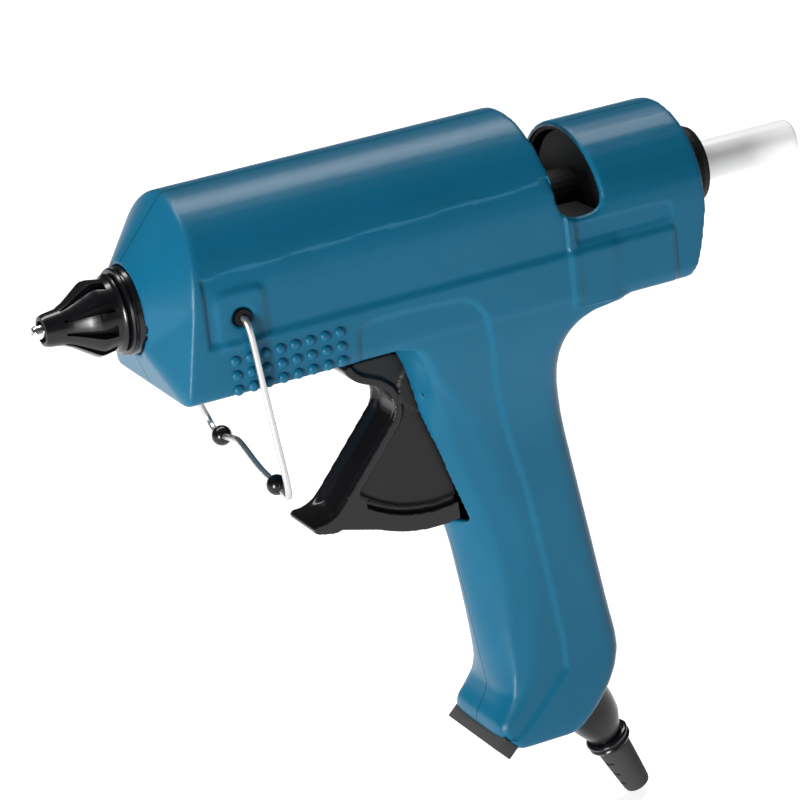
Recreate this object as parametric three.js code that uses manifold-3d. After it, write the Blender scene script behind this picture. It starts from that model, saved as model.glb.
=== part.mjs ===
// Hot-melt glue gun with a wire stand. Millimetres, +Z up.
// The design frame has its X axis on the glue stick's axis, the nozzle towards -X and the left half at -Y.
// The exported group moves that frame so that the origin is at the middle of the bottom of the whole gun.
import * as THREE from "three";
import { mergeVertices } from "three/addons/utils/BufferGeometryUtils.js";
import Module from "manifold-3d";

const wasm = await Module();
wasm.setup();

// ---------------------------------------------------------------- driving dimensions
const STICK = { r: 5.6, front: 30, rear: 185.6 };
const CLEAR = { touch: 0.3, bore: 0.45, pin: 0.15, liner: 0.35 };

const BARREL = { r: 25, axisZ: 4, bottom: -22.5, corner: 3 };
const NOSE = { ringR: 12.6, ringX: -16.5, edgeX: -7.6, lean: 0.18, boreX: -2 };
const NOTCH = { frontX: 101, lean: 0.13, rearX: 113.8, floor: 1.6, fillet: 5 };
const REAR = { r: 21, half: 24.2, bottom: -24.3, end: 144.6, corner: 4, round: 8 };
const WALL = 2.5;
const SEAM = 0.15;

const HANDLE = { frontX: 51.3, frontRake: 0.134, rearX: 93.2, rearRake: 0.1455, half: 15, bevel: 5 };
const GRIP = { round: 15, setBack: 5.8, topZ: -46 };
const FOOT = { bottom: -149.8, chamfer: 5.2, rearX: 96.6 };

const TRIGGER = { pivotX: 62, pivotZ: -39.5, half: 8, webR: 33.8, grooveR: 35.8, railR: 41, pinR: 2, hubR: 6 };
const ARM = { tipX: 64.5, tipZ: -19.5, r: 2.6, half: 3.6 };
const SLOT = { half: 8.7, top: -27, depth: 8 };

const NOZZLE = { tipX: -42.6, tipR: 1.75, bodyR: 4, boreR: 0.9, threadR: 4.2, ballX: -15.2, rearX: -2 };
const SLEEVE = { frontX: -40, frontR: 4.1, baseR: 10.6, wall: 1.6, rearX: -19.4, slots: 9 };
const COLLAR = { r: 11.8, bore: 7.4, frontX: -19.1, rearX: -9 };

const CHAMBER = { frontX: -1.4, rearX: 33, half: 8.5, top: 9.5, bottom: -8.5, meltR: 2 };
const SUPPORT = { half: 14, bottom: -13, thick: 3, frontX: 0.1, rearX: 28.6 };
const HEATER = { length: 22, half: 6, thick: 2.4, startX: 4.5 };
const INLET = { rearX: 44.5, r: 8.6 };
const CARRIAGE = { frontX: 58, rearX: 76, half: 9, top: 9.4, bottom: -9 };
const LEVER = { pivotX: 71, pivotZ: -13, pinR: 1.5, half: 3.6 };

const GUIDE = { frontX: 116, tubeR: 8, tubeFrontX: 92, collarR: 11.4, collarEndX: 155, collarRound: 3 };

const STAND = { x: 6.1, z: -1.2, wireR: 0.9, endY: 19.5, legY: 27.3, bushR: 2.3, plateHalfX: 6.6, plateHalfZ: 7.4 };
const FOOT_BALL_R = 2.9;
const SCREW = { headR: 2.9, headH: 2, shankR: 1.3, bossR: 3.4, tipY: -12 };
const PLUG = { rootX: 106.3, rootZ: -151.7, tiltX: 0.428, tiltZ: -0.903, buried: 9 };
const BOARD = { x0: 80, x1: 97, z0: -131, z1: -88, y: 3, thick: 1.6 };

// ---------------------------------------------------------------- geometry helpers
const solidOf = (geometry) => {
  geometry.deleteAttribute("normal");
  geometry.deleteAttribute("uv");
  const merged = mergeVertices(geometry, 1e-4);
  return new wasm.Manifold(
    new wasm.Mesh({
      numProp: 3,
      vertProperties: merged.attributes.position.array,
      triVerts: new Uint32Array(merged.index.array),
    }),
  );
};

const geometryOf = (manifold) => {
  const mesh = manifold.getMesh();
  const geometry = new THREE.BufferGeometry();
  geometry.setAttribute("position", new THREE.BufferAttribute(mesh.vertProperties, 3));
  geometry.setIndex(new THREE.BufferAttribute(mesh.triVerts, 1));
  geometry.computeVertexNormals();
  return geometry;
};

// The same solid on the other side of the seam plane.
const mirrored = (manifold) => {
  const { vertProperties, triVerts } = manifold.getMesh();
  const points = vertProperties.map((value, i) => (i % 3 === 1 ? -value : value));
  const faces = new Uint32Array(triVerts.length);
  for (let i = 0; i < faces.length; i += 3) faces.set([triVerts[i], triVerts[i + 2], triVerts[i + 1]], i);
  return new wasm.Manifold(new wasm.Mesh({ numProp: 3, vertProperties: points, triVerts: faces }));
};

const join = (...solids) => solids.reduce((a, b) => a.add(b));
const cut = (body, ...tools) => tools.reduce((a, b) => a.subtract(b), body);

// Turns an extrusion's own axes (outline x, outline y, depth) into the gun's axes.
const axis = (x, y, z) => new THREE.Vector3(x, y, z);
const AXES = {
  x: new THREE.Matrix4().makeBasis(axis(0, 1, 0), axis(0, 0, 1), axis(1, 0, 0)),
  y: new THREE.Matrix4().makeBasis(axis(1, 0, 0), axis(0, 0, 1), axis(0, -1, 0)),
};

const shapeOf = (points) => new THREE.Shape(points.map(([a, b]) => new THREE.Vector2(a, b)));

// An outline in (y, z), extruded from x = a to x = b.
const alongX = (shape, a, b, options = {}) => {
  const settings = { depth: b - a, bevelEnabled: false, curveSegments: 10, ...options };
  const geometry = new THREE.ExtrudeGeometry(shape, settings);
  return geometry.applyMatrix4(AXES.x).translate(a, 0, 0);
};

// An outline in (x, z), extruded from y = a to y = b.
const alongY = (shape, a, b, options = {}) => {
  const settings = { depth: b - a, bevelEnabled: false, curveSegments: 10, ...options };
  const geometry = new THREE.ExtrudeGeometry(shape, settings);
  return geometry.applyMatrix4(AXES.y).translate(0, b, 0);
};

const block = (x0, x1, y0, y1, z0, z1) =>
  new THREE.BoxGeometry(x1 - x0, y1 - y0, z1 - z0).translate((x0 + x1) / 2, (y0 + y1) / 2, (z0 + z1) / 2);

const rodX = (r, a, b, y = 0, z = 0, sides = 24) =>
  new THREE.CylinderGeometry(r, r, b - a, sides).rotateZ(-Math.PI / 2).translate((a + b) / 2, y, z);

const rodY = (r, a, b, x, z, sides = 16) =>
  new THREE.CylinderGeometry(r, r, b - a, sides).translate(x, (a + b) / 2, z);

// A profile of [x, radius] pairs turned about the X axis, in the order that leaves its faces pointing out.
const turned = (profile, sides = 28) => {
  const loop = profile.map(([x, r]) => new THREE.Vector2(r, x));
  if (THREE.ShapeUtils.area(loop) < 0) loop.reverse();
  loop.push(loop[0].clone());
  return new THREE.LatheGeometry(loop, sides).rotateZ(-Math.PI / 2);
};

// A round wire of radius r along a smooth path through points.
const wire = (points, r, steps, sides) => {
  const path = new THREE.CatmullRomCurve3(points.map((p) => new THREE.Vector3(...p)), false, "centripetal");
  const section = new THREE.Shape();
  section.absarc(0, 0, r, 0, Math.PI * 2);
  const settings = { steps, extrudePath: path, curveSegments: sides, bevelEnabled: false };
  return new THREE.ExtrudeGeometry(section, settings);
};

// ---------------------------------------------------------------- outlines of the housing
// Upright section in (y, z): a round top of radius r about axisZ, upright sides, a flat bottom with round
// corners.
const archSection = (r, axisZ, bottom, corner, turns = 16) => {
  const points = [];
  for (let i = 0; i <= turns; i++) {
    const a = (Math.PI * i) / turns;
    points.push([r * Math.cos(a), axisZ + r * Math.sin(a)]);
  }
  for (const side of [-1, 1])
    for (let i = 0; i <= 2; i++) {
      const a = (Math.PI / 4) * i;
      const sweep = side < 0 ? Math.PI + a : Math.PI * 1.5 + a;
      const y = side * (r - corner) + corner * Math.cos(sweep);
      points.push([y, bottom + corner + corner * Math.sin(sweep)]);
    }
  return points;
};

const ramp = THREE.MathUtils.smoothstep;
const clamp = THREE.MathUtils.clamp;
// The front line of the handle: straight at the trigger, set back at the grip, forward again at the toe.
const handleFront = (z) => {
  const back = GRIP.setBack * ramp(-z, 50, 92) * (1 - ramp(-z, 134, 143.5));
  return HANDLE.frontX - HANDLE.frontRake * z + back;
};
const handleRear = (z) => HANDLE.rearX - HANDLE.rearRake * z;
const quadratic = (a, b, c, t) => a * (1 - t) ** 2 + 2 * b * t * (1 - t) + c * t * t;

// Where the handle starts at height z, a distance d inside its skin: fillet, front line, slanted toe.
const frontAt = (z, d) => {
  const toeTop = FOOT.bottom + FOOT.chamfer;
  const toe = handleFront(toeTop) + 0.94 * (toeTop - z) + 1.4 * d;
  const t = Math.sqrt(clamp((BARREL.bottom - z) / (BARREL.bottom - GRIP.topZ), 0, 1));
  const fillet = (handleFront(GRIP.topZ) - handleFront(0) + 5) * (1 - t) ** 2;
  return Math.max(handleFront(clamp(z, toeTop, GRIP.topZ)) - fillet + d, toe);
};

// Where the handle ends at height z: fillet, straight back, rounded heel.
const rearAt = (z, d) => {
  const top = handleRear(GRIP.topZ);
  if (z > GRIP.topZ) {
    const t = 1 - Math.sqrt(clamp((REAR.bottom - z) / (REAR.bottom - GRIP.topZ), 0, 1));
    return quadratic(top, handleRear(REAR.bottom), top + 20, t) - d;
  }
  if (z > FOOT.bottom + 26) return handleRear(z) - d;
  const t = 7 - Math.sqrt(49 - (z - FOOT.bottom) / 2);
  return quadratic(FOOT.rearX, handleRear(FOOT.bottom + 18) + 1, handleRear(FOOT.bottom + 26), t) - 1.15 * d;
};

// Half width of the handle at height z, as a share of HANDLE.half: as wide as the barrel at its top, slim at
// the grip, wider at the foot.
const handleWidth = (z) => 0.95 + 0.705 * (1 - ramp(-z, 16, 62)) + 0.13 * ramp(-z, 112, 148);

// Upright-axis section at height z: a round front, flat sides and a rear with round corners.
const handleRing = (z, d) => {
  const front = frontAt(z, d);
  const rear = rearAt(z, d);
  const rim = 1 - Math.sqrt(1 - clamp((FOOT.bottom + HANDLE.bevel - z) / HANDLE.bevel, 0, 1) ** 2);
  const half = HANDLE.half * handleWidth(z) - d - 0.3 * HANDLE.bevel * rim;
  const reach = HANDLE.bevel + GRIP.round * ramp(-z, 30, 56) * (1 - ramp(-z, 95, 146)) - d / 2;
  const power = 2 / (2 + 3 * ramp(-z, 128, 145));
  const corner = HANDLE.bevel - d;
  const side = [];
  for (let i = 1; i <= 9; i++) {
    const a = (Math.PI * i) / 18;
    side.push([front + reach * (1 - Math.max(0, Math.cos(a)) ** power), half * Math.sin(a) ** power]);
  }
  for (let i = 0; i <= 3; i++) {
    const a = (Math.PI * i) / 6;
    side.push([rear - corner + corner * Math.sin(a), half - corner + corner * Math.cos(a)]);
  }
  const back = side.map(([x, y]) => [x, y]).reverse();
  return [[front, 0], ...side.map(([x, y]) => [x, -y]), [rear, 0], ...back].map(([x, y]) => [x, y, z]);
};

const HANDLE_LEVELS = [
  REAR.bottom + 18, BARREL.bottom, -23.1, -24.3, -25.4, -27.3, -30, -33, -36.5, -41, GRIP.topZ, -51, -56, -62,
  -68, -74, -80, -86, -92, -99, -106, -113, -119, -124, -129, -134, -138, -141.5, -144.6, -146.3, -148, -149.1,
];

// The handle and foot, built from its sections, all a distance d inside the skin.
const handleSolid = (d) => {
  const floor = FOOT.bottom + d;
  const levels = [...HANDLE_LEVELS.filter((z) => z > floor + 0.3), floor];
  const rings = levels.map((z) => handleRing(z, d));
  const count = rings[0].length;
  const middle = (ring) => [(ring[0][0] + ring[10][0]) / 2, 0, ring[0][2]];
  const points = [];
  for (let j = 0; j < count; j++) {
    const k = (j + 1) % count;
    points.push(middle(rings[0]), rings[0][j], rings[0][k]);
    points.push(middle(rings.at(-1)), rings.at(-1)[k], rings.at(-1)[j]);
    for (let i = 1; i < rings.length; i++) {
      points.push(rings[i][j], rings[i][k], rings[i - 1][k]);
      points.push(rings[i][j], rings[i - 1][k], rings[i - 1][j]);
    }
  }
  const geometry = new THREE.BufferGeometry();
  geometry.setAttribute("position", new THREE.Float32BufferAttribute(points.flat(), 3));
  return solidOf(geometry);
};

// The barrel: a round ring at the nose, the full section from the leaning nose edge on.
const barrelSolid = () => {
  const section = archSection(BARREL.r, BARREL.axisZ, BARREL.bottom, BARREL.corner, 24);
  const end = NOTCH.frontX + 3;
  const geometry = alongX(shapeOf(section), NOSE.ringX, end, { steps: 2 });
  const position = geometry.attributes.position;
  const middle = (NOSE.ringX + end) / 2;
  for (let i = 0; i < position.count; i++) {
    const x = position.getX(i);
    const radial = new THREE.Vector2(position.getY(i), position.getZ(i));
    if (x < middle - 1) {
      radial.setLength(NOSE.ringR);
      position.setY(i, radial.x);
      position.setZ(i, radial.y);
    } else if (x < middle + 1) position.setX(i, NOSE.edgeX + NOSE.lean * radial.y);
  }
  return solidOf(geometry);
};

const rearSection = (d) => {
  const section = archSection(REAR.r - d, 0, REAR.bottom + d, Math.max(REAR.corner - d, 1));
  return section.map(([y, z]) => [(y * (REAR.half - d)) / (REAR.r - d), z]);
};

// The block behind the notch, with its lower rear edge rounded.
const rearSolid = () => {
  const outline = new THREE.Shape();
  outline.moveTo(NOTCH.frontX - 6, REAR.bottom - 1);
  outline.lineTo(REAR.end - REAR.round, REAR.bottom - 1);
  outline.quadraticCurveTo(REAR.end - 3, REAR.bottom, REAR.end, REAR.bottom + REAR.round * 2.5);
  outline.lineTo(REAR.end, REAR.r + 2);
  outline.lineTo(NOTCH.frontX - 6, REAR.r + 2);
  const body = solidOf(alongX(shapeOf(rearSection(0)), NOTCH.frontX - 6, REAR.end));
  return body.intersect(solidOf(alongY(outline, -BARREL.r - 1, BARREL.r + 1)));
};

const notchTool = () => {
  const top = BARREL.axisZ + BARREL.r + 5;
  const front = (z) => NOTCH.frontX - NOTCH.lean * z;
  const shape = new THREE.Shape();
  shape.moveTo(front(top), top);
  shape.lineTo(front(NOTCH.floor + NOTCH.fillet), NOTCH.floor + NOTCH.fillet);
  shape.quadraticCurveTo(front(NOTCH.floor), NOTCH.floor, NOTCH.frontX + NOTCH.fillet, NOTCH.floor);
  shape.lineTo(NOTCH.rearX - NOTCH.fillet, NOTCH.floor);
  shape.quadraticCurveTo(NOTCH.rearX, NOTCH.floor, NOTCH.rearX, NOTCH.floor + NOTCH.fillet);
  shape.lineTo(NOTCH.rearX, top);
  return solidOf(alongY(shape, -BARREL.r - 4, BARREL.r + 4, { curveSegments: 4 }));
};

// ---------------------------------------------------------------- the two housing halves
const SCREWS = [
  [9, 20.5],
  [50, 22],
  [88, 20],
  [10, -16.5],
  [92, -29],
  [138, -16.5],
  [80, -140.5],
];

const wallHalf = (z) => HANDLE.half * handleWidth(z);
// Outer half width of the housing at a screw, where its head is sunk in.
const outerHalf = ([x, z]) => {
  if (z < -24) return wallHalf(z);
  if (x > NOTCH.rearX) return REAR.half;
  const r = BARREL.r;
  const { axisZ } = BARREL;
  return z > axisZ ? Math.sqrt(r * r - (z - axisZ) ** 2) : r;
};
const headFace = (screw) => outerHalf(screw) - 3.2;

const cavity = () => {
  const section = archSection(BARREL.r - WALL, BARREL.axisZ, BARREL.bottom + WALL, 1, 16);
  const endX = NOTCH.frontX - WALL - NOTCH.lean * BARREL.r;
  const low = NOTCH.floor - WALL;
  const hollows = join(
    solidOf(alongX(shapeOf(section), NOSE.boreX, endX)),
    solidOf(block(endX - 1, GUIDE.frontX, -REAR.r + WALL + 1, REAR.r - WALL - 1, BARREL.bottom + WALL, low)),
    solidOf(alongX(shapeOf(rearSection(WALL)), NOTCH.rearX - 6, REAR.end - WALL)),
    handleSolid(WALL),
    solidOf(rodX(COLLAR.r + CLEAR.touch, NOSE.ringX - 1, NOSE.boreX + 1, 0, 0, 40)),
    solidOf(rodX(GUIDE.collarR + CLEAR.touch, REAR.end - WALL - 1, REAR.end + 1, 0, 0, 40)),
    solidOf(rodX(GUIDE.tubeR + CLEAR.touch, endX - 1, NOTCH.frontX + 4, 0, 0, 28)),
  );
  const underNotch = block(endX + 0.5, NOTCH.rearX, -BARREL.r, BARREL.r, low, NOTCH.floor);
  const guideBore = solidOf(rodX(GUIDE.tubeR + CLEAR.touch, endX - 1, 150, 0, 0, 28));
  return hollows.subtract(solidOf(underNotch).subtract(guideBore));
};

// Inner ribs that the moving and fixed pieces seat on, given for the right half (positive y).
const ribs = () => {
  const bosses = SCREWS.map((s) => solidOf(rodY(SCREW.bossR, 0, outerHalf(s) - 1, s[0], s[1])));
  const railX = [CARRIAGE.frontX - 13, CARRIAGE.rearX + 3];
  const railNear = CARRIAGE.half + CLEAR.touch;
  const rails = [-3, 4].map((z) => solidOf(block(...railX, railNear, BARREL.r - 1, z - 1, z + 1)));
  const pinBoss = rodY(5, TRIGGER.half + 0.7, wallHalf(TRIGGER.pivotZ) - 1, TRIGGER.pivotX, TRIGGER.pivotZ);
  const supports = [SUPPORT.frontX, SUPPORT.rearX].map((x) =>
    solidOf(block(x + 0.3, x + SUPPORT.thick - 0.3, SUPPORT.half + CLEAR.touch, BARREL.r - 1, -6, 6)),
  );
  return [...bosses, ...rails, solidOf(pinBoss), ...supports];
};

const plateSolid = () => {
  const { x, z, plateHalfX: a, plateHalfZ: b } = STAND;
  const r = 2;
  const shape = new THREE.Shape();
  shape.moveTo(x - a + r, z - b);
  shape.lineTo(x + a - r, z - b);
  shape.absarc(x + a - r, z - b + r, r, -Math.PI / 2, 0);
  shape.lineTo(x + a, z + b - r);
  shape.absarc(x + a - r, z + b - r, r, 0, Math.PI / 2);
  shape.lineTo(x - a + r, z + b);
  shape.absarc(x - a + r, z + b - r, r, Math.PI / 2, Math.PI);
  shape.lineTo(x - a, z - b + r);
  shape.absarc(x - a + r, z - b + r, r, Math.PI, Math.PI * 1.5);
  return solidOf(alongY(shape, BARREL.r - 6, BARREL.r + 0.8, { curveSegments: 3 }));
};

const housingHalves = () => {
  const outer = cut(join(barrelSolid(), rearSolid(), handleSolid(0)), notchTool());
  const slotRear = handleFront(-80) + SLOT.depth;
  const slotLow = TRIGGER.pivotZ - TRIGGER.railR - 0.8;
  const slot = solidOf(block(40, slotRear, -SLOT.half, SLOT.half, slotLow, SLOT.top));
  const armHalf = ARM.half + 0.7;
  const armSlot = solidOf(block(48, 62, -armHalf, armHalf, SLOT.top - 1, BARREL.bottom + WALL + 0.5));
  const shell = cut(outer, cavity(), slot, armSlot, plugSocketTool());
  return [-1, 1].map((side) => {
    const far = side > 0 ? 40 : -SEAM;
    const near = side > 0 ? SEAM : -40;
    const half = solidOf(block(-60, 200, near, far, -200, 60));
    const flip = (s) => (side > 0 ? s : mirrored(s));
    const inner = ribs().map((rib) => flip(rib).intersect(half).intersect(outer));
    const holes = [
      flip(solidOf(rodY(STAND.bushR + CLEAR.touch, BARREL.r - 8, BARREL.r + 4, STAND.x, STAND.z, 20))),
      flip(solidOf(rodY(TRIGGER.pinR + CLEAR.pin, -20, 13.4, TRIGGER.pivotX, TRIGGER.pivotZ, 20))),
      solidOf(rodX(GUIDE.tubeR + CLEAR.touch, 80, 120, 0, 0, 28)),
    ];
    for (const s of SCREWS)
      if (side > 0) {
        holes.push(solidOf(rodY(SCREW.shankR + 0.3, -1, 40, ...s)));
        holes.push(solidOf(rodY(SCREW.headR + 0.3, headFace(s) - SCREW.headH, 40, ...s)));
      } else holes.push(solidOf(rodY(SCREW.shankR + CLEAR.pin, SCREW.tipY - 1, 1, ...s)));
    return cut(join(shell.intersect(half), ...inner, flip(plateSolid())), ...holes);
  });
};

const screwSolid = (s) => {
  const face = headFace(s);
  const shank = rodY(SCREW.shankR, SCREW.tipY, face - 0.5, ...s, 12);
  const head = rodY(SCREW.headR, face - SCREW.headH + CLEAR.touch, face, ...s, 20);
  const recess = block(-0.5, 0.5, face - 1, face + 1, -2, 2);
  const cross = [0, Math.PI / 2].map((a) => solidOf(recess.clone().rotateY(a).translate(s[0], 0, s[1])));
  return cut(join(solidOf(shank), solidOf(head)), ...cross);
};

// ---------------------------------------------------------------- nozzle and melting chamber
const nozzleTip = () =>
  turned([
    [NOZZLE.tipX, NOZZLE.boreR],
    [NOZZLE.tipX, NOZZLE.tipR - 0.3],
    [NOZZLE.tipX + 0.4, NOZZLE.tipR],
    [NOZZLE.tipX + 4, NOZZLE.tipR + 0.2],
    [-32, NOZZLE.bodyR - 0.4],
    [-21, NOZZLE.bodyR + 0.6],
    [-19, NOZZLE.bodyR + 2.2],
    [-14, NOZZLE.bodyR + 2.2],
    [-14, NOZZLE.threadR],
    [NOZZLE.rearX, NOZZLE.threadR],
    [NOZZLE.rearX, 2.9],
    [-16, 2.9],
    [-18, NOZZLE.boreR],
  ], 24);

// A coil between the valve ball and the mouth of the chamber.
const valveSpring = () => {
  const front = NOZZLE.ballX + 2.9;
  const rear = NOZZLE.rearX - 0.1;
  const points = [];
  for (let i = 0; i <= 32; i++) {
    const a = (i / 8) * 2 * Math.PI;
    points.push([THREE.MathUtils.lerp(front, rear, i / 32), 2 * Math.cos(a), 2 * Math.sin(a)]);
  }
  return wire(points, 0.35, 64, 2);
};

const sleeveProfile = (x) => {
  const t = (x - SLEEVE.frontX) / (SLEEVE.rearX - SLEEVE.frontX);
  return SLEEVE.frontR + (SLEEVE.baseR - SLEEVE.frontR) * Math.min(1, Math.max(0, (t - 0.14) / 0.66));
};

const nozzleSleeve = () => {
  const outside = [0, 0.14, 0.36, 0.58, 0.8, 1].map((t) => {
    const x = THREE.MathUtils.lerp(SLEEVE.frontX, SLEEVE.rearX, t);
    return [x, sleeveProfile(x)];
  });
  const inside = outside.map(([x, r]) => [x, Math.max(r - SLEEVE.wall, NOZZLE.tipR + 0.9)]).reverse();
  inside[0][1] = COLLAR.bore + 0.4;
  const body = solidOf(turned([...outside, ...inside], 36));
  const slots = [];
  for (let i = 0; i < SLEEVE.slots; i++) {
    const slot = block(-30, -22.4, -0.9, 0.9, 3, 14);
    slots.push(solidOf(slot.rotateX((2 * Math.PI * (i + 0.5)) / SLEEVE.slots)));
  }
  return cut(body, ...slots);
};

const nozzleCollar = () =>
  turned([
    [COLLAR.frontX, COLLAR.bore],
    [COLLAR.frontX, COLLAR.r - 1.2],
    [COLLAR.frontX + 1, COLLAR.r],
    [COLLAR.rearX, COLLAR.r],
    [COLLAR.rearX, COLLAR.bore],
  ], 36);

const meltChamber = () => {
  const { frontX, rearX, half, top, bottom } = CHAMBER;
  const body = solidOf(block(frontX, rearX, -half, half, bottom, top));
  const inletBore = rodX(STICK.r + CLEAR.bore, 12, CHAMBER.rearX + 1);
  const meltBore = rodX(CHAMBER.meltR, CHAMBER.frontX - 1, 13);
  const fins = [2, 8, 14, 20].map((x) => solidOf(block(x, x + 2.5, -20, 20, top - 2, top + 1)));
  return cut(body, solidOf(inletBore), solidOf(meltBore), ...fins);
};

const heaterPlate = (side) => {
  const y = side * (CHAMBER.half + CLEAR.touch);
  const far = y + side * HEATER.thick;
  const { startX, length, half } = HEATER;
  return block(startX, startX + length, Math.min(y, far), Math.max(y, far), -half, half);
};

// A spring-steel strip that wraps under the chamber and presses both heater plates on.
const heaterClip = () => {
  const inner = CHAMBER.half + HEATER.thick + 2 * CLEAR.touch;
  const t = 0.8;
  const bottom = CHAMBER.bottom - CLEAR.touch;
  const points = [
    [-inner - t, 4],
    [-inner - t, bottom - t],
    [inner + t, bottom - t],
    [inner + t, 4],
    [inner, 4],
    [inner, bottom],
    [-inner, bottom],
    [-inner, 4],
  ];
  return alongX(shapeOf(points), HEATER.startX + 6, HEATER.startX + HEATER.length - 6);
};

// A plate round the chamber, with a window that leaves the clearance on every side.
const chamberSupport = (x) => {
  const gap = CLEAR.touch;
  const plate = alongX(shapeOf(archSection(SUPPORT.half, 0, SUPPORT.bottom, 2, 10)), x, x + SUPPORT.thick);
  const { half, bottom, top } = CHAMBER;
  const window = block(x - 1, x + SUPPORT.thick + 1, -half - gap, half + gap, bottom - gap, top + gap);
  return cut(solidOf(plate), solidOf(window));
};

const inletSleeve = () => {
  const front = CHAMBER.rearX + CLEAR.touch;
  return turned([
    [front, STICK.r + CLEAR.bore],
    [front, INLET.r],
    [front + 4, INLET.r],
    [INLET.rearX, INLET.r - 1],
    [INLET.rearX, STICK.r + CLEAR.bore + 0.8],
    [INLET.rearX - 1.5, STICK.r + CLEAR.bore],
  ]);
};

// ---------------------------------------------------------------- feed mechanism
const feedCarriage = () => {
  const { frontX, rearX, half, top, bottom } = CARRIAGE;
  const body = solidOf(block(frontX, rearX, -half, half, bottom, top));
  const ears = [-1, 1].map((side) => {
    const y = [side * (LEVER.half + 0.5), side * (LEVER.half + 3.6)].sort((a, b) => a - b);
    return solidOf(block(LEVER.pivotX - 4, rearX, y[0], y[1], LEVER.pivotZ - 4, bottom + 1));
  });
  const bore = rodX(STICK.r + CLEAR.bore, frontX - 1, rearX + 1);
  const window = block(frontX + 3, rearX - 1, -LEVER.half - 0.5, LEVER.half + 0.5, bottom - 8, -3);
  const pinHole = rodY(LEVER.pinR + CLEAR.pin, -20, 20, LEVER.pivotX, LEVER.pivotZ);
  const grooves = [-half, half].map((y) => solidOf(block(frontX - 1, rearX + 1, y - 1.2, y + 1.2, -0.6, 1.6)));
  return cut(join(body, ...ears), solidOf(bore), solidOf(window), solidOf(pinHole), ...grooves);
};

const clampLever = () => {
  const bite = -STICK.r - 0.55;
  const low = ARM.tipZ + ARM.r + 0.9;
  const hookX = ARM.tipX - ARM.r - 0.5;
  const points = [
    [LEVER.pivotX + 3.2, LEVER.pivotZ - 2],
    [LEVER.pivotX + 3.2, LEVER.pivotZ + 2.5],
    [LEVER.pivotX, bite],
    [LEVER.pivotX - 3.4, bite],
    [LEVER.pivotX - 5, LEVER.pivotZ + 1.5],
    [hookX - 1.6, low + 2.4],
    [hookX - 1.6, ARM.tipZ - 1],
    [hookX, ARM.tipZ - 1],
    [hookX, low],
    [LEVER.pivotX - 3, low],
    [LEVER.pivotX - 1, LEVER.pivotZ - 3],
  ];
  const plate = solidOf(alongY(shapeOf(points), -LEVER.half, LEVER.half));
  return plate.subtract(solidOf(rodY(LEVER.pinR + CLEAR.pin, -10, 10, LEVER.pivotX, LEVER.pivotZ)));
};

// ---------------------------------------------------------------- trigger
const triggerSolid = () => {
  const { pivotX: px, pivotZ: pz, half, webR, grooveR, railR } = TRIGGER;
  const shape = new THREE.Shape();
  shape.moveTo(39.6, -29.4);
  shape.quadraticCurveTo(41.5, -33.4, 46, -35);
  shape.bezierCurveTo(51.5, -37, 55.5, -41, 52.4, -46.6);
  shape.lineTo(34.6, -67.1);
  shape.quadraticCurveTo(31.6, -70.6, 26.6, -70.6);
  shape.quadraticCurveTo(24.6, -71.4, 26.4, -73);
  shape.quadraticCurveTo(31, -74.6, 34, -73.8);
  const startAngle = Math.atan2(-76.3 - pz, 45 - px);
  const endAngle = Math.atan2(-75.8 - pz, 68.5 - px);
  shape.lineTo(px + railR * Math.cos(startAngle), pz + railR * Math.sin(startAngle));
  shape.absarc(px, pz, railR, startAngle, endAngle, false);
  shape.lineTo(px + 5.5, pz);
  shape.quadraticCurveTo(px + 3, pz + 9.5, px - 8, -28.4);
  shape.lineTo(41, -28.4);
  const web = solidOf(alongY(shape, -half, half, { curveSegments: 8 }));
  const arm = [
    [px - 4, pz],
    [px + 5, pz],
    [ARM.tipX + ARM.r, ARM.tipZ],
    [ARM.tipX - ARM.r, ARM.tipZ],
  ];
  const body = join(
    web,
    solidOf(rodY(TRIGGER.hubR, -half, half, px, pz, 20)),
    solidOf(alongY(shapeOf(arm), -ARM.half, ARM.half)),
    solidOf(rodY(ARM.r, -ARM.half, ARM.half, ARM.tipX, ARM.tipZ, 20)),
  );
  const ring = new THREE.Shape();
  ring.absarc(px, pz, grooveR, Math.PI * 1.05, Math.PI * 1.75, false);
  ring.absarc(px, pz, webR, Math.PI * 1.75, Math.PI * 1.05, true);
  const sideGrooves = [-1, 1].map((side) => {
    const edges = [side * (half - 1.6), side * (half + 1)].sort((a, b) => a - b);
    return solidOf(alongY(ring, edges[0], edges[1], { curveSegments: 12 }));
  });
  const behindLip = block(20, 42, -half - 1, half + 1, -90, -40);
  const grooves = sideGrooves.map((g) => g.subtract(solidOf(behindLip)));
  const springSeat = [rodY(5.2, half - 3.4, half + 1, px, pz, 20)];
  const pinBore = rodY(TRIGGER.pinR + CLEAR.pin, -20, 20, px, pz, 20);
  return cut(body, ...grooves, solidOf(pinBore), ...springSeat.map(solidOf));
};

// A torsion coil round the pivot pin, in the trigger's own recess, with its leg against the right half's rib.
const triggerSpring = () => {
  const points = [];
  const turns = 2.5;
  const r = TRIGGER.pinR + 1.7;
  for (let i = 0; i <= turns * 8; i++) {
    const a = (i / 8) * 2 * Math.PI;
    const y = TRIGGER.half - 2.7 + (i / (turns * 8)) * 2.6;
    points.push([TRIGGER.pivotX + r * Math.cos(a), y, TRIGGER.pivotZ + r * Math.sin(a)]);
  }
  return wire(points, 0.4, 60, 3);
};

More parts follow.
